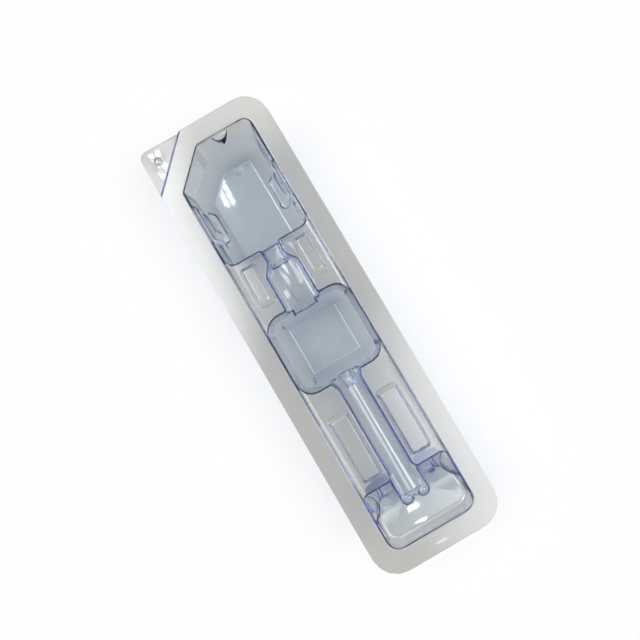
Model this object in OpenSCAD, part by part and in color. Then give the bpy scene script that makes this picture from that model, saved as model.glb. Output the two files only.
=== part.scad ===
// Thermoformed tray of clear sheet for one long sterile instrument.
// The head of the tray is at +Y, the peel corner at -X +Y, and the pocket floors stand on z = 0.

/* [Sheet] */
// Thickness of the formed sheet
sheet = 1.0; // [0.6:0.1:1.2]
// Draft of the pocket walls in degrees
draft = 5.2; // [3:0.1:7]
// Radius of the rim where the flange turns down
rim_r = 1.3; // [1.3:0.1:2.5]
// Radius of the shoulder edges over the deep pockets
edge_r = 1.3; // [1.3:0.1:2]
// Radius at the foot of the walls
floor_r = 1.6; // [0.8:0.1:2.5]

/* [Flange] */
// Flat width of the seal flange, from its edge to the rim radius
seal_width = 12; // [9:0.5:18]
// Radius of the three large flange corners
flange_corner_r = 16.5; // [10:0.5:20]
// Radius of the tip of the peel corner
peel_tip_r = 4.5; // [2:0.5:8]
// Length of the peel corner along each edge of the flange
peel_leg = 29.5; // [26:0.5:34]
// How far the peel corner lies below the flange
peel_drop = 2.8; // [2.4:0.1:4]
// Diameter of the dimple in the peel corner
dimple_d = 6; // [4:0.5:8]
// Height of the dimple
dimple_h = 1.3; // [0.8:0.1:1.8]
// Distance of the dimple from the side edge and from the head edge
dimple_in = 9.2; // [7:0.2:12]

/* [Cavity] */
// Width of the cavity between its side walls
cavity_width = 58.4; // [56:0.2:66]
// Depth of the deep floors under the flange
pocket_depth = 40; // [36:1:46]
// Depth at which the walls break inwards to the floors
break_depth = 25; // [22:1:30]
// Run of the sloped walls under the break
slope_run = 8.5; // [6:0.5:10]
// Corner radius of the rim at the head
head_corner_r = 5; // [3:0.5:8]
// Corner radius of the rim at the tail
tail_corner_r = 7.5; // [4:0.5:10]
// Radius of the rim at the ends of the chamfered head corner
chamfer_r = 4; // [3:0.5:6]
// Radius of the soft break in the walls
break_r = 4; // [2:0.5:6]
// How much larger the corners of the deep walls are than those of the rim
corner_growth = 7; // [3:0.5:9]

/* [Lengths along the tray] */
// Length of the head pocket
head_length = 75.8; // [72:0.2:90]
// Length of the neck
neck_length = 41.8; // [39:0.2:50]
// Length of the square pocket
square_length = 53.2; // [48:0.2:66]
// Length of the channel
channel_length = 70.2; // [66:0.2:90]
// Length of the tail trench
trench_length = 17.5; // [16:0.5:24]
// Length of the tail shelf
shelf_length = 18.9; // [15:0.1:26]

/* [Levels] */
// Depth of the shoulders under the flange
shoulder_depth = 5; // [4:0.5:6]
// Depth of the tail shelf
shelf_depth = 12; // [9:0.5:15]
// Depth of the neck saddle
saddle_depth = 16; // [14:0.5:17]
// Depth of the step between the head pocket and the saddle
step_depth = 21; // [19:0.5:23]
// Depth of the channel beside its groove
channel_depth = 18; // [14:0.5:19]

/* [Neck] */
// Width of the neck at the shoulders
neck_width = 22.4; // [20:0.2:24]
// Width of the pinch between the neck and the head pocket
pinch_width = 11.8; // [9:0.2:14]
// Length of the step floor beside the head pocket
step_length = 13.7; // [11:0.1:16]
// Width of the groove in the saddle
saddle_groove_width = 10.4; // [8:0.2:12]
// Depth of the groove in the saddle
saddle_groove_depth = 2.4; // [1.5:0.1:3]
// Width of the shallow seat at the tail end of the saddle
seat_width = 15; // [13:0.2:16]
// Depth of the shallow seat
seat_depth = 1.2; // [0.8:0.1:1.6]
// Length of the shallow seat
seat_length = 17; // [10:0.5:22]
// How far the saddle reaches into the square pocket
nose_length = 4; // [3:0.5:6]
// Width of the end of the saddle in the square pocket
nose_width = 17.2; // [16:0.2:18]
// Length of the straight pinch
pinch_length = 9.5; // [8:0.1:11]
// Length over which the neck narrows to the pinch
neck_taper = 7.3; // [6:0.1:9]
// Radius of the bend into the pinch
pinch_r = 6; // [4:0.5:8]
// Radius of the shoulder noses at the head pocket
nose_r = 3; // [2:0.5:4]

/* [Square pocket] */
// Corner radius of the square pocket at the shoulders
square_corner_r = 9.5; // [6:0.5:12]
// Run of its sloped walls towards the neck and the channel
square_slope_run = 7.4; // [5:0.1:9]
// Corner radius of the head pocket at the neck
head_foot_r = 5.5; // [4:0.5:8]

/* [Channel] */
// Width of the channel at the shoulders
channel_width = 15.2; // [13:0.2:17]
// Width of the mouth of the channel at the square pocket
mouth_width = 19.4; // [18:0.2:22]
// Length of the tapered mouth
mouth_length = 6.5; // [4:0.5:9]
// Width of the half-round groove
groove_width = 11.6; // [8:0.2:12]
// Depth of the half-round groove
groove_depth = 3; // [2:0.1:3.6]
// Width of the saddle block across the trench
block_width = 18.6; // [17.6:0.2:20]
// Depth of the ramp between the square pocket and the channel
ramp_depth = 23; // [21.5:0.5:24]
// Length of the ramp
ramp_length = 9.4; // [8:0.2:12]
// Width of the ramp at the channel and at the square pocket
ramp_width = 7.4; // [6:0.2:8]
ramp_mouth = 12; // [10:0.2:13]

/* [Pads] */
// Depth of the pad tops under the flange
pad_depth = 1.5; // [1:0.1:2]
// Length of the head pads at the shoulders
head_pad_length = 29; // [24:0.5:31]
// Length of the tail pads at the shoulders
tail_pad_length = 46; // [36:0.5:50]
// Gap between the head pads and the head pocket
head_pad_gap = 4.6; // [4:0.1:6]
// Gap between the tail pads and the trench
tail_pad_gap = 6.8; // [5:0.1:9]
// Distance of the pads' inner edges from the middle
head_pad_inner = 12.8; // [12.6:0.1:14]
tail_pad_inner = 9.8; // [9.4:0.1:11]
// Distance of the pads' outer edges from the middle
head_pad_outer = 25; // [24:0.1:25.6]
tail_pad_outer = 24.8; // [23:0.1:25.6]

/* [Grips] */
// Length of the upper ledge of the head grips
grip_length = 27.2; // [22:0.2:32]
// Middle of the head grips, from the neck wall
grip_place = 31.7; // [28:0.1:36]
// How far the three ledges of a head grip stand in from the side wall
grip_top_in = 2; // [1.6:0.1:2.4]
grip_mid_in = 4.5; // [3.8:0.1:5.2]
grip_low_in = 8.9; // [8:0.1:9.6]
// Depths of the three ledges under the flange
grip_top_depth = 4; // [3:0.5:5]
grip_mid_depth = 12; // [9:0.5:15]
grip_low_depth = 29; // [26:0.5:32]
// Radius of the bulges beside the tail trench
bulge_r = 11; // [10:0.5:12]
// How far the three ledges of a bulge stand in from the side wall
bulge_top_in = 4; // [3.4:0.1:4.6]
bulge_mid_in = 6.4; // [5.8:0.1:7]
bulge_low_in = 8.4; // [7.8:0.1:9]
// Depths of the three ledges under the flange
bulge_top_depth = 3; // [2.5:0.5:4]
bulge_mid_depth = 10; // [8:0.5:14]
bulge_low_depth = 29; // [26:0.5:32]

/* [Nesting lug] */
// Distance of the lug in the head wall from the middle
lug_place = 8.3; // [-4:0.1:12]
// Width of the lug's top
lug_width = 11.6; // [8:0.2:14]
// Width of the lug's foot
lug_tip = 4.4; // [3:0.2:6]
// Depth of the lug's top under the flange
lug_depth = 2.6; // [2:0.1:4]
// Length of the lug down the wall
lug_length = 17.4; // [12:0.2:22]

/* [Hidden] */
corner_steps = 4;
small = 0.02;
grid = 0.01;
wall_gap = 0.1;
lean = tan(draft);
rim = max(rim_r, sheet + 0.2);
edge = max(edge_r, sheet + 0.2);
cavity_length = head_length + neck_length + square_length + channel_length + trench_length + shelf_length;
tray_width = cavity_width + 2 * (rim + seal_width);
tray_length = cavity_length + 2 * (rim + seal_width);
head_y = cavity_length / 2;
neck_y = head_y - head_length;
square_y = neck_y - neck_length;
channel_y = square_y - square_length;
trench_y = channel_y - channel_length;
shelf_y = trench_y - trench_length;
tail_y = -head_y;
side_x = cavity_width / 2;
wall_x = side_x - shoulder_depth * lean + wall_gap;
chamfer_leg = peel_leg - (2 - sqrt(2)) * (seal_width + rim);
grip_y = neck_y + grip_place;
bulge_y = (trench_y + shelf_y) / 2;
min_r = 1.2;
beyond = 12;
reach = 6;
arc_steps = 2;
notch_inner = 2.8;
notch_outer = 8.4;
notch_length = 1.6;

// Plane geometry
function unit(v) = v / norm(v);
function left(v) = [-v[1], v[0]];
function flat(p) = [p[0], p[1]];
function turned(v, a) = [v[0] * cos(a) - v[1] * sin(a), v[0] * sin(a) + v[1] * cos(a)];
function mirrored(points) = [for (i = [len(points) - 1:-1:0]) [-points[i][0], points[i][1], points[i][2]]];

// Arc of radius r that rounds the corner at a point between its two neighbours
function blend(before, at, after, r, steps) =
    let (
        u = unit(at - before),
        w = unit(after - at),
        turn = atan2(cross(u, w), u * w),
        start = at - u * r * tan(abs(turn) / 2),
        centre = start + sign(turn) * r * left(u)
    )
    [for (i = [0:steps]) centre + turned(start - centre, turn * i / steps)];

// Corner of an outline moved inwards by an inset
function mitre(before, at, after, inset) =
    let (u = unit(at - before), w = unit(after - at))
    at + inset * (left(u) + left(w)) / (1 + u * w);

// Ring of points around an outline of corners [x, y, radius, share of the spread]
function ring(outline, inset, spread) =
    let (
        n = len(outline),
        corners = [for (c = outline) flat(c)],
        moved = [for (i = [0:n - 1]) mitre(corners[(i + n - 1) % n], corners[i], corners[(i + 1) % n], inset)]
    )
    [for (i = [0:n - 1])
        let (
            before = moved[(i + n - 1) % n],
            after = moved[(i + 1) % n],
            outward = cross(moved[i] - before, after - moved[i]) > 0,
            share = len(outline[i]) > 3 ? outline[i][3] : 0,
            r = outline[i][2] + (outward ? share * spread - inset : inset)
        )
        each blend(before, moved[i], after, max(min_r, r), corner_steps)];

// Section of a wall through corners [inset, depth, radius, steps], without its two end points
function section(corners) =
    [for (i = [1:len(corners) - 2])
        each blend(flat(corners[i - 1]), flat(corners[i]), flat(corners[i + 1]), corners[i][2], corners[i][3])];

// Section moved by the sheet's thickness, side -1 for a pocket and 1 for a raised form
function skin(path, g, side) =
    let (n = len(path), ahead = [for (i = [0:n - 2]) unit(path[i + 1] - path[i])])
    [for (i = [0:n - 1])
        let (
            u = i == 0 ? [-side, 0] : ahead[i - 1],
            w = i == n - 1 ? (side < 0 ? [1, 0] : [0, 1]) : ahead[i],
            nu = side * [u[1], -u[0]],
            nw = side * [w[1], -w[0]]
        )
        path[i] + g * (nu + nw) / (1 + nu * nw)];

// Solid through rings, each a list of points, from the top down
module loft(rings) {
    n = len(rings[0]);
    last = len(rings) - 1;
    sides = [for (i = [0:last - 1], j = [0:n - 1])
        let (a = i * n + j, b = i * n + (j + 1) % n) each [[a, b, b + n], [a, b + n, a + n]]];
    lid = [for (j = [n - 1:-1:0]) j];
    base = [for (j = [0:n - 1]) last * n + j];
    polyhedron([for (r = rings) each r], concat([lid], sides, [base]));
}

// Ring at a depth, with its points on a fine grid so that walls which cross don't leave slivers
function snapped(v) = round(v / grid) * grid;
function level(outline, inset, depth, spread) =
    [for (p = ring(outline, inset, spread)) [snapped(p[0]), snapped(p[1]), snapped(-depth)]];

// Air of a pocket, from above its upper edge, flared there, down to its floor
module pocket(outline, corners, g, top, spread = [[0, 0], [1, 0]], flare = 0) {
    path = skin(section(corners), g, -1);
    loft([
        level(outline, path[0][0] - flare, top, 0),
        for (p = path) level(outline, p[0], p[1], lookup(p[1], spread))
    ]);
}

// Section of a plain deep wall from the shoulders to a floor
function deep_wall(depth) = [
    [-beyond, shoulder_depth],
    [0, shoulder_depth, edge, arc_steps],
    [(depth - shoulder_depth) * lean, depth, floor_r, arc_steps],
    [beyond, depth]
];

// The whole cavity with its rim, side walls and sloped lower walls
module cavity(g) {
    break_in = break_depth * lean;
    outline = [
        [-side_x, tail_y, tail_corner_r],
        [side_x, tail_y, tail_corner_r],
        [side_x, head_y, head_corner_r, 1],
        [-side_x + chamfer_leg, head_y, chamfer_r, 0.6],
        [-side_x, head_y - chamfer_leg, chamfer_r, 0.6]
    ];
    walls = [
        [-beyond, 0],
        [0, 0, rim, arc_steps],
        [break_in, break_depth, break_r, 1],
        [break_in + slope_run, pocket_depth, floor_r, arc_steps],
        [break_in + slope_run + beyond, pocket_depth]
    ];
    growth = [[0, 0], [break_depth, corner_growth], [pocket_depth, corner_growth]];
    pocket(outline, walls, g, g > 0 ? g / 2 : -1, growth);
}

// Room over the shoulders
module shoulder_room(g) {
    outline = [
        [-side_x, tail_y, tail_corner_r],
        [side_x, tail_y, tail_corner_r],
        [side_x, head_y, head_corner_r],
        [-side_x, head_y, head_corner_r]
    ];
    walls = [
        [-wall_gap - shoulder_depth * lean, -shoulder_depth],
        [shoulder_depth * lean - wall_gap, shoulder_depth, floor_r, arc_steps],
        [beyond, shoulder_depth]
    ];
    pocket(outline, walls, g, g > 0 ? g / 2 : -1, flare = 2 * rim);
}

// Head pocket, whose side and end walls are the cavity's own
module head_pocket(g) {
    outline = [
        [-wall_x, neck_y, head_foot_r],
        [wall_x, neck_y, head_foot_r],
        [wall_x, head_y + beyond, 2],
        [-wall_x, head_y + beyond, 2]
    ];
    pocket(outline, deep_wall(pocket_depth + small), g, shoulder_depth - 1);
}

// Neck down to the saddle, pinched towards the head pocket
module neck(g) {
    mouth = neck_width / 2;
    pinch = pinch_width / 2;
    side = [
        [mouth + reach, square_y - reach, min_r],
        [mouth + reach, square_y - 0.6, min_r],
        [mouth, square_y, 2.5],
        [mouth, neck_y - pinch_length - neck_taper, 1.5],
        [pinch, neck_y - pinch_length, pinch_r],
        [pinch, neck_y, nose_r],
        [pinch + reach, neck_y + 1, min_r],
        [pinch + reach, neck_y + reach + 1, min_r]
    ];
    pocket(concat(side, mirrored(side)), deep_wall(saddle_depth), g, shoulder_depth - 1);
}

// Step floor between the saddle and the head pocket, a little inside the walls of the neck
module neck_step(g) {
    pinch = pinch_width / 2 - wall_gap;
    side = [
        [pinch + neck_taper / 4, neck_y - step_length, 2],
        [pinch, neck_y - pinch_length + 2 * wall_gap, pinch_r],
        [pinch, neck_y, nose_r],
        [pinch + reach - 1.2, neck_y + 1.7, min_r],
        [pinch + reach - 1.2, neck_y + reach, min_r]
    ];
    pocket(concat(side, mirrored(side)), deep_wall(step_depth), g, shoulder_depth - 1);
}

// Square pocket with its four sloped walls
module square_pocket(g) {
    break_in = (break_depth - shoulder_depth) * lean;
    outline = [
        [-wall_x, channel_y, square_corner_r],
        [wall_x, channel_y, square_corner_r],
        [wall_x, square_y, square_corner_r],
        [-wall_x, square_y, square_corner_r]
    ];
    walls = [
        [-beyond, shoulder_depth],
        [0, shoulder_depth, edge, arc_steps],
        [break_in, break_depth, break_r, 1],
        [break_in + square_slope_run, pocket_depth + small, floor_r, arc_steps],
        [break_in + square_slope_run + beyond, pocket_depth + small]
    ];
    pocket(outline, walls, g, shoulder_depth - 1);
}

// Channel from the square pocket through the trench's saddle block
module channel(g) {
    half = channel_width / 2;
    mouth = mouth_width / 2;
    side = [
        [block_width / 2 + 3, shelf_y + wall_gap, min_r],
        [block_width / 2 + 3, trench_y - 0.6, min_r],
        [half, trench_y, 4.5],
        [half, channel_y - mouth_length, 3],
        [mouth, channel_y, 2.5],
        [mouth + reach, channel_y + 0.8, min_r],
        [mouth + reach, channel_y + reach, min_r]
    ];
    pocket(concat(side, mirrored(side)), deep_wall(channel_depth), g, shoulder_depth - 1);
    ramp = [
        [ramp_width / 2, channel_y - ramp_length, min_r],
        [ramp_mouth / 2, channel_y + reach, min_r]
    ];
    pocket(concat(ramp, mirrored(ramp)), deep_wall(ramp_depth), g, shoulder_depth - 1);
}

// One half of the tail trench, beside the saddle block
module trench_half(g) {
    inner = block_width / 2 + 0.5 - (channel_depth - shoulder_depth) * lean;
    outline = [
        [inner, shelf_y, min_r],
        [wall_x, shelf_y, 2.5],
        [wall_x, trench_y, 3],
        [inner, trench_y, min_r]
    ];
    pocket(outline, deep_wall(pocket_depth + small), g, shoulder_depth - 1);
}

// Shelf at the tail
module tail_shelf(g) {
    outline = [
        [-wall_x, tail_y + shoulder_depth * lean - wall_gap, tail_corner_r],
        [wall_x, tail_y + shoulder_depth * lean - wall_gap, tail_corner_r],
        [wall_x, trench_y - 4, 3],
        [-wall_x, trench_y - 4, 3]
    ];
    walls = [
        [-beyond, shoulder_depth],
        [0, shoulder_depth, edge, arc_steps],
        [(shelf_depth - shoulder_depth) * lean, shelf_depth, 1.5 * floor_r, arc_steps],
        [beyond, shelf_depth]
    ];
    pocket(outline, walls, g, shoulder_depth - 1);
}

// Two small notches where the block meets the shelf
module shelf_notch(g) {
    outline = [
        [notch_inner, shelf_y - notch_length, min_r],
        [notch_outer, shelf_y - notch_length, min_r],
        [notch_outer, shelf_y + 3, min_r],
        [notch_inner, shelf_y + 3, min_r]
    ];
    walls = [
        [-beyond, shelf_depth],
        [0, shelf_depth, edge, arc_steps],
        [(channel_depth - shelf_depth) * lean, channel_depth, min_r, arc_steps],
        [beyond, channel_depth]
    ];
    pocket(outline, walls, g, shelf_depth - 1);
}

// Lowered corner where the lid is peeled off
module peel_corner(g) {
    outline = [
        [0, 0, 2],
        [2 * peel_leg, 0, 2],
        [2 * peel_leg, peel_leg, 2],
        [0, peel_leg, 2]
    ];
    walls = [
        [-beyond, 0],
        [0, 0, rim, arc_steps],
        [peel_drop * tan(2 * draft), peel_drop, min(1, peel_drop / 4), 1],
        [beyond, peel_drop]
    ];
    translate([-tray_width / 2, tray_length / 2 - peel_leg, 0])
    rotate(45)
    translate([-peel_leg / 3, 0, 0])
    pocket(outline, walls, g, g > 0 ? g / 2 : -1);
}

// Dimple raised in the peel corner
module dimple(g) {
    r = (pow(dimple_d / 2, 2) + pow(dimple_h, 2)) / (2 * dimple_h);
    translate([-tray_width / 2 + dimple_in, tray_length / 2 - dimple_in, dimple_h - peel_drop - r])
    sphere(r = r - g, $fn = 24);
}

// Half-round groove along the tray
module groove(width, sag, depth, from, to, g) {
    r = (pow(width / 2, 2) + pow(sag, 2)) / (2 * sag);
    half = width / 2 + g;
    run = to - from + 2 * g;
    intersection() {
        translate([0, to + g, r - sag - depth])
        rotate([90, 0, 0])
        cylinder(r = r + g, h = run, $fn = 48);
        translate([-half, from - g, -depth - sag - 2 * g])
        cube([2 * half, run, sag + 2 * g + edge]);
    }
}

// Corners of a rectangle [x0, y0, x1, y1] with a radius
function rectangle(b, r) = [[b[0], b[1], r], [b[2], b[1], r], [b[2], b[3], r], [b[0], b[3], r]];

// Raised pad on a shoulder, from its base [x0, y0, x1, y1] and the runs of its walls in the same order
module pad(base, runs, g) {
    top = rectangle([base[0] + runs[0], base[1] + runs[1], base[2] - runs[2], base[3] - runs[3]], 2.4);
    low = rectangle(base, 3);
    rise = shoulder_depth - pad_depth;
    foot = [
        [beyond, 0],
        [0, 0, edge, arc_steps],
        [-1, rise * 0.62, 0.9, 1],
        [-1.6, rise, 0.9, 1],
        [-2.2, rise + beyond]
    ];
    formed = skin(section(foot), g, 1);
    path = concat(formed, [[formed[len(formed) - 1][0], rise + 2]]);
    share = [for (p = path) min(1, max(0, p[1] / rise))];
    loft([for (i = [0:len(path) - 1])
        let (
            mix = [for (c = [0:3]) top[c] + share[i] * (low[c] - top[c])]
        )
        level(mix, path[i][0] + share[i] * 1.6, pad_depth + path[i][1], 0)]);
}

module pads(g) {
    head_end = neck_y - head_pad_gap;
    tail_end = trench_y + tail_pad_gap;
    head_base = [head_pad_inner, head_end - head_pad_length, head_pad_outer, head_end];
    tail_base = [tail_pad_inner, tail_end, tail_pad_outer, tail_end + tail_pad_length];
    for (side = [0, 1]) mirror([side, 0, 0]) {
        pad(head_base, [3.2, 3.8, 2.2, 2.2], g);
        pad(tail_base, [1.8, 1.8, 1.6, 3.6], g);
    }
}

// Raised block with rounded corners that stands in from the side wall
module side_block(in, y, half, r, depth, g) {
    hull() for (end = [-1, 1]) for (low = [0, 1]) {
        fall = low * (pocket_depth - depth);
        translate([side_x - in + r - fall * lean, y + end * (half - r), -depth - g - fall - 2 * low])
        linear_extrude(small) {
            circle(r = r - g, $fn = 24);
            translate([beyond, 0]) circle(r = r - g, $fn = 24);
        }
    }
}

// Stepped grips at the sides of the head pocket
module head_grips(g) {
    half = grip_length / 2;
    for (side = [0, 1]) mirror([side, 0, 0]) {
        side_block(grip_top_in, grip_y, half, 2.5, grip_top_depth, g);
        side_block(grip_mid_in, grip_y, half - 2.4, 7, grip_mid_depth, g);
        side_block(grip_low_in, grip_y, half - 1.2, 6, grip_low_depth, g);
    }
}

// Round bulges at the sides of the tail trench
module tail_bulges(g) {
    low_r = bulge_r - 2;
    for (side = [0, 1]) mirror([side, 0, 0]) {
        side_block(bulge_top_in, bulge_y, bulge_r, bulge_r, bulge_top_depth, g);
        side_block(bulge_mid_in, bulge_y, low_r, low_r, bulge_mid_depth, g);
        side_block(bulge_low_in, bulge_y, low_r, low_r, bulge_low_depth, g);
    }
}

// End of the saddle that stands in the square pocket
module saddle_nose(g) {
    half = nose_width / 2 - g;
    hull() for (low = [0, 1]) {
        fall = low * (pocket_depth - saddle_depth);
        run = fall * lean;
        translate([-half - run, square_y - nose_length + g - run, -saddle_depth - small - g - fall])
        cube([2 * (half + run), nose_length + run - g + 1.4, small]);
    }
}

// Half-cone lug on the head wall that keeps nested trays apart
module nesting_lug(g) {
    hull() {
        translate([lug_place, head_y + 1.6, -lug_depth - g])
        linear_extrude(small)
        circle(r = lug_width / 2 - g, $fn = 32);
        translate([lug_place, head_y + 1, -lug_depth - lug_length])
        linear_extrude(small)
        circle(r = lug_tip / 2 - g, $fn = 32);
    }
}

// All the air over the sheet, grown by g
module air(g) {
    difference() {
        union() {
            intersection() {
                cavity(g);
                union() {
                    shoulder_room(g);
                    head_pocket(g);
                    neck(g);
                    neck_step(g);
                    square_pocket(g);
                    channel(g);
                    tail_shelf(g);
                    for (side = [0, 1]) mirror([side, 0, 0]) {
                        trench_half(g);
                        shelf_notch(g);
                    }
                }
            }
            peel_corner(g);
        }
        pads(g);
        head_grips(g);
        tail_bulges(g);
        saddle_nose(g);
        nesting_lug(g);
        dimple(g);
    }
    nose_y = square_y - nose_length;
    step_y = neck_y - step_length;
    groove(saddle_groove_width, saddle_groove_depth, saddle_depth, nose_y - 1, step_y + 2.6, g);
    groove(seat_width, seat_depth, saddle_depth, nose_y - 1, nose_y + seat_length, g);
    groove(groove_width, groove_depth, channel_depth, shelf_y + 3, channel_y + 3, g);
}

// Flange outline as a prism through the whole height
module flange_prism() {
    x = tray_width / 2;
    y = tray_length / 2;
    outline = [
        [-x, -y, flange_corner_r],
        [x, -y, flange_corner_r],
        [x, y, flange_corner_r],
        [-x, y, peel_tip_r]
    ];
    loft([level(outline, 0, 0, 0), level(outline, 0, pocket_depth + sheet, 0)]);
}

module tray() {
    color([0.78, 0.84, 0.90])
    translate([0, 0, pocket_depth + sheet])
    difference() {
        intersection() {
            flange_prism();
            union() {
                translate([-tray_width, -tray_length, -sheet]) cube([2 * tray_width, 2 * tray_length, sheet]);
                air(sheet);
            }
        }
        air(0);
    }
}

tray();
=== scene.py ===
import math

import bpy
from mathutils import Matrix, Vector


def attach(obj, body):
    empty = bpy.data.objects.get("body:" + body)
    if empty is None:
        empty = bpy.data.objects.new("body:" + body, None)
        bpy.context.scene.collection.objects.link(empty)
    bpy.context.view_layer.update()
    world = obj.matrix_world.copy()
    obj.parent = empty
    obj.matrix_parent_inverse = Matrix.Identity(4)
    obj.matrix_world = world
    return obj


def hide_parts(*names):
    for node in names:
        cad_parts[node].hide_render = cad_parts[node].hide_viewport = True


MM = 0.001
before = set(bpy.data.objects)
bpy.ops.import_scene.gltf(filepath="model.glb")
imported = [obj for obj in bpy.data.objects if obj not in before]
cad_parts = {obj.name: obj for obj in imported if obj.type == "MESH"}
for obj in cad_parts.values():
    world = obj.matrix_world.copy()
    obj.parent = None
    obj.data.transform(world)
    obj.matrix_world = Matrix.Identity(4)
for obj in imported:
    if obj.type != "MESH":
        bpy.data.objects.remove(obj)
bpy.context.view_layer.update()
bpy.ops.object.select_all(action="DESELECT")
scene = bpy.context.scene

# The formed sheet in millimetres: its levels above the floor, and how far below a shoulder the painted blue
# shade of the deep pockets is full
FLANGE_TOP = 41.0
SHOULDER_TOP = 36.0
POCKET_SHADE_DEPTH = 8

# The merge of the CAD triangles: distance in millimetres, then angles in degrees
MERGE = 0.02
FLAT_ANGLE = 0.4
CREASE_ANGLE = 50

# The peel corner in millimetres: its length along each edge of the flange, the step in x and y past its tear
# line where the rise starts, and how far below the flange it still counts; then the rise in degrees
TRAY_SIZE = (85.0, 304.0)
PEEL_LEG = 29.5
PEEL_START = 0.9
PEEL_REACH = 6
PEEL_RISE = 4.0

# The room: direction, half angle in degrees, strength and soft edge in degrees of each soft box
SOFT_BOXES = [
    ((-0.42, 0.28, 0.863), 20, 5.9, 5),
    ((0.42, -0.30, 0.857), 23, 3.7, 6.5),
    ((0, 0.57, 0.82), 14, 1.9, 5),
]
ROOM_STRENGTH = 0.45
FLOOR_SIZE = 6.0
FLOOR_GAP = 0.3

# Small lamps at one height: place in metres, width and depth in millimetres, radiance
LAMP_HEIGHT = 1.0
PANES = [
    (-0.037 + (i - 0.5) * 0.017, 0.448 + (j - 1.5) * 0.0175, 12, 13, 12)
    for i in range(2) for j in range(4)
]
GLINTS = [(-0.027, -0.444, 22, 9, 60), (-0.008, -0.536, 30, 3, 7)]

# The camera, fitted to the flange's corners: place in millimetres, turn in degrees, focal length in pixels
CAMERA_PLACE = (3.0, -8.0, 340.0 + FLANGE_TOP)
CAMERA_TURN = (-2.03, 1.05, 0.07)
FOCAL_PIXELS = 554.7
PICTURE_PIXELS = 640
SENSOR_WIDTH = 36


def linear(hex_colour):
    """An sRGB hex colour as linear RGBA."""
    rgb = [int(hex_colour[i:i + 2], 16) / 255 for i in (1, 3, 5)]
    return [c / 12.92 if c <= 0.04045 else ((c + 0.055) / 1.055) ** 2.4 for c in rgb] + [1.0]


def add_node(owner, kind, settings=None, **inputs):
    """A node of a material or world with its settings, its socket values and its links;
    an input given as a socket is linked, and one called i with a number is that input."""
    node = owner.node_tree.nodes.new(kind)
    for name, value in (settings or {}).items():
        setattr(node, name, value)
    for name, value in inputs.items():
        key = int(name[1:]) if name[0] == "i" and name[1:].isdigit() else name.replace("_", " ")
        socket = node.inputs[key]
        if isinstance(value, bpy.types.NodeSocket):
            owner.node_tree.links.new(value, socket)
        else:
            socket.default_value = value
    return node


def empty_material(name):
    material = bpy.data.materials.new(name)
    material.use_nodes = True
    material.node_tree.nodes.clear()
    return material


def thermoformed_petg():
    """Clear PETG sheet, 1 mm, drawn into a mould: glossy on both faces, nearly clear where it is seen face on.
    The blue toner in the sheet shows where light runs along it, so steep walls and tight bends go blue."""
    m = empty_material("thermoformed_petg")
    place = add_node(m, "ShaderNodeTexCoord")
    height = add_node(m, "ShaderNodeSeparateXYZ", Vector=place.outputs["Object"])
    # Painted shade: below the shoulders the sheet's colour turns a little bluer, standing in for light that
    # reaches the deep pockets through the blue walls
    pocket_shade_mask = add_node(m, "ShaderNodeMapRange", {"interpolation_type": "SMOOTHSTEP"},
                     Value=height.outputs["Z"], From_Min=SHOULDER_TOP * MM,
                     From_Max=(SHOULDER_TOP - POCKET_SHADE_DEPTH) * MM, To_Min=0.0, To_Max=1.0)
    colour_and_pocket_shade = add_node(m, "ShaderNodeMix", {"data_type": "RGBA"}, i0=pocket_shade_mask.outputs["Result"],
                    i6=linear("#f3f2ee"), i7=linear("#eff4f4"))
    sheet = add_node(m, "ShaderNodeBsdfPrincipled", Base_Color=colour_and_pocket_shade.outputs[2], Roughness=0.03, IOR=1.57,
                     Transmission_Weight=1.0)
    through = add_node(m, "ShaderNodeBsdfTransparent", Color=linear("#f6f8fa"))
    path = add_node(m, "ShaderNodeLightPath")
    surface = add_node(m, "ShaderNodeMixShader", i0=path.outputs["Is Shadow Ray"],
                       i1=sheet.outputs["BSDF"], i2=through.outputs["BSDF"])
    toner = add_node(m, "ShaderNodeVolumeAbsorption", Color=linear("#7ca8e8"), Density=115.0)
    add_node(m, "ShaderNodeOutputMaterial", Surface=surface.outputs["Shader"],
             Volume=toner.outputs["Volume"])
    return m


def plain_floor():
    """Smooth studio board: white in the picture itself, light grey where the clear sheet shows it."""
    m = empty_material("white_board")
    path = add_node(m, "ShaderNodeLightPath")
    tone = add_node(m, "ShaderNodeMix", {"data_type": "RGBA"}, i0=path.outputs["Is Camera Ray"],
                    i6=linear("#a6a49f"), i7=linear("#c8c8c8"))
    board = add_node(m, "ShaderNodeBsdfPrincipled", Base_Color=tone.outputs[2], Roughness=0.9)
    add_node(m, "ShaderNodeOutputMaterial", Surface=board.outputs["BSDF"])
    return m


def raise_peel_tip(tray):
    """The peel corner rises a little towards its tip: a guess, made for its tone."""
    rise = math.tan(math.radians(PEEL_RISE))
    for vertex in tray.data.vertices:
        out = (vertex.co.y - vertex.co.x) / MM - (sum(TRAY_SIZE) / 2 - PEEL_LEG)
        if out > PEEL_START and vertex.co.z > (FLANGE_TOP - PEEL_REACH) * MM:
            vertex.co.z += (out - PEEL_START) / math.sqrt(2) * rise * MM


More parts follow.
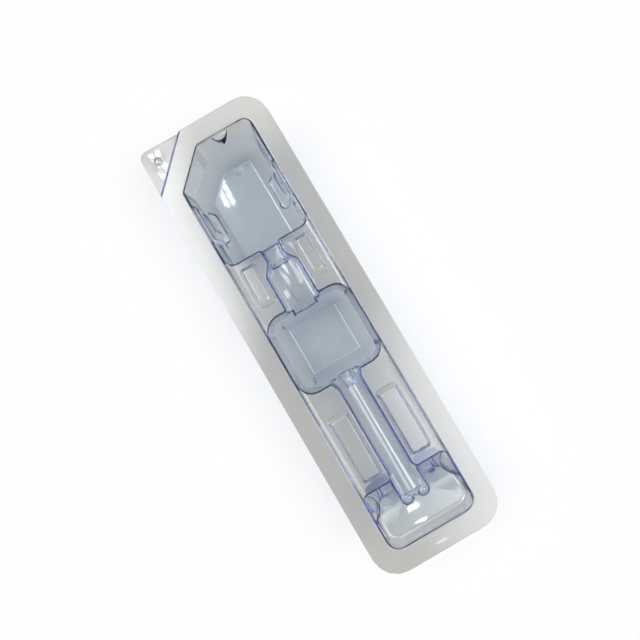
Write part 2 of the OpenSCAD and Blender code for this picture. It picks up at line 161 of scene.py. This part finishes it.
def formed_sheet():
    """The tray's sheet with its creases smoothed, from the CAD solid."""
    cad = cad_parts["tray"]
    tray = bpy.data.objects.new("formed_sheet", cad.data.copy())
    bpy.context.collection.objects.link(tray)
    bpy.context.view_layer.objects.active = tray
    tray.select_set(True)
    bpy.ops.object.mode_set(mode="EDIT")
    bpy.ops.mesh.select_all(action="SELECT")
    bpy.ops.mesh.remove_doubles(threshold=MERGE * MM)
    bpy.ops.mesh.dissolve_limited(angle_limit=math.radians(FLAT_ANGLE))
    bpy.ops.object.mode_set(mode="OBJECT")
    raise_peel_tip(tray)
    bpy.ops.object.shade_smooth_by_angle(angle=math.radians(CREASE_ANGLE))
    even = tray.modifiers.new("even_shading", "WEIGHTED_NORMAL")
    even.keep_sharp = True
    bpy.ops.object.modifier_apply(modifier=even.name)
    tray.data.materials.clear()
    tray.data.materials.append(thermoformed_petg())
    tray.select_set(False)
    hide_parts("tray")
    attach(tray, "root")


def floor_board():
    bpy.ops.mesh.primitive_plane_add(size=FLOOR_SIZE, location=(0, 0, -FLOOR_GAP * MM))
    floor = bpy.context.object
    floor.name = "floor"
    floor.data.materials.append(plain_floor())


def lit_room():
    """An even grey room with large soft boxes in it."""
    world = bpy.data.worlds.new("studio")
    scene.world = world
    world.use_nodes = True
    sky = world.node_tree.nodes["Background"]
    towards = add_node(world, "ShaderNodeTexCoord")
    glow = None
    for aim, half_angle, power, edge in SOFT_BOXES:
        near = add_node(world, "ShaderNodeVectorMath", {"operation": "DOT_PRODUCT"},
                        i0=towards.outputs["Generated"], i1=Vector(aim).normalized())
        box = add_node(world, "ShaderNodeMapRange", {"interpolation_type": "SMOOTHSTEP"},
                       Value=near.outputs["Value"],
                       From_Min=math.cos(math.radians(half_angle + edge)),
                       From_Max=math.cos(math.radians(half_angle - edge)),
                       To_Min=0.0, To_Max=power)
        glow = box.outputs["Result"] if glow is None else add_node(
            world, "ShaderNodeMath", {"operation": "ADD"}, i0=glow, i1=box.outputs["Result"]).outputs["Value"]
    strength = add_node(world, "ShaderNodeMath", {"operation": "ADD"}, i0=glow, i1=ROOM_STRENGTH)
    world.node_tree.links.new(strength.outputs["Value"], sky.inputs["Strength"])
    sky.inputs["Color"].default_value = linear("#ffffff")


def small_lamps():
    """The lamps that glint in the sheet: a grid like window panes in the head pocket, and two at the tail."""
    for i, (x, y, wide, deep, radiance) in enumerate(PANES + GLINTS):
        data = bpy.data.lights.new("lamp_%02d" % i, "AREA")
        data.shape = "RECTANGLE"
        data.size, data.size_y = wide * MM, deep * MM
        data.energy = radiance * math.pi * wide * MM * deep * MM
        lamp = bpy.data.objects.new(data.name, data)
        bpy.context.collection.objects.link(lamp)
        lamp.location = (x, y, LAMP_HEIGHT)


def camera():
    """Camera of the photograph, from the four corners of the flange."""
    place = Vector(CAMERA_PLACE) * MM
    turn = Vector([math.radians(a) for a in CAMERA_TURN])
    spin = Matrix.Rotation(turn.length, 3, turn.normalized())
    level = Matrix(((0.861, -0.508, 0), (-0.508, -0.861, 0), (0, 0, -1)))
    axes = spin @ level
    right, down, ahead = axes.row[0], axes.row[1], axes.row[2]
    data = bpy.data.cameras.new("camera")
    data.sensor_width = SENSOR_WIDTH
    data.lens = FOCAL_PIXELS / PICTURE_PIXELS * SENSOR_WIDTH
    obj = bpy.data.objects.new("camera", data)
    bpy.context.collection.objects.link(obj)
    obj.matrix_world = Matrix((
        (right[0], -down[0], -ahead[0], place[0]),
        (right[1], -down[1], -ahead[1], place[1]),
        (right[2], -down[2], -ahead[2], place[2]),
        (0, 0, 0, 1)))
    scene.camera = obj


camera()
formed_sheet()
floor_board()
lit_room()
small_lamps()
scene.view_settings.view_transform = "Standard"
# Light that is caught inside the sheet leaves it after many turns
scene.cycles.max_bounces = 40
scene.cycles.glossy_bounces = 40
scene.cycles.transmission_bounces = 40
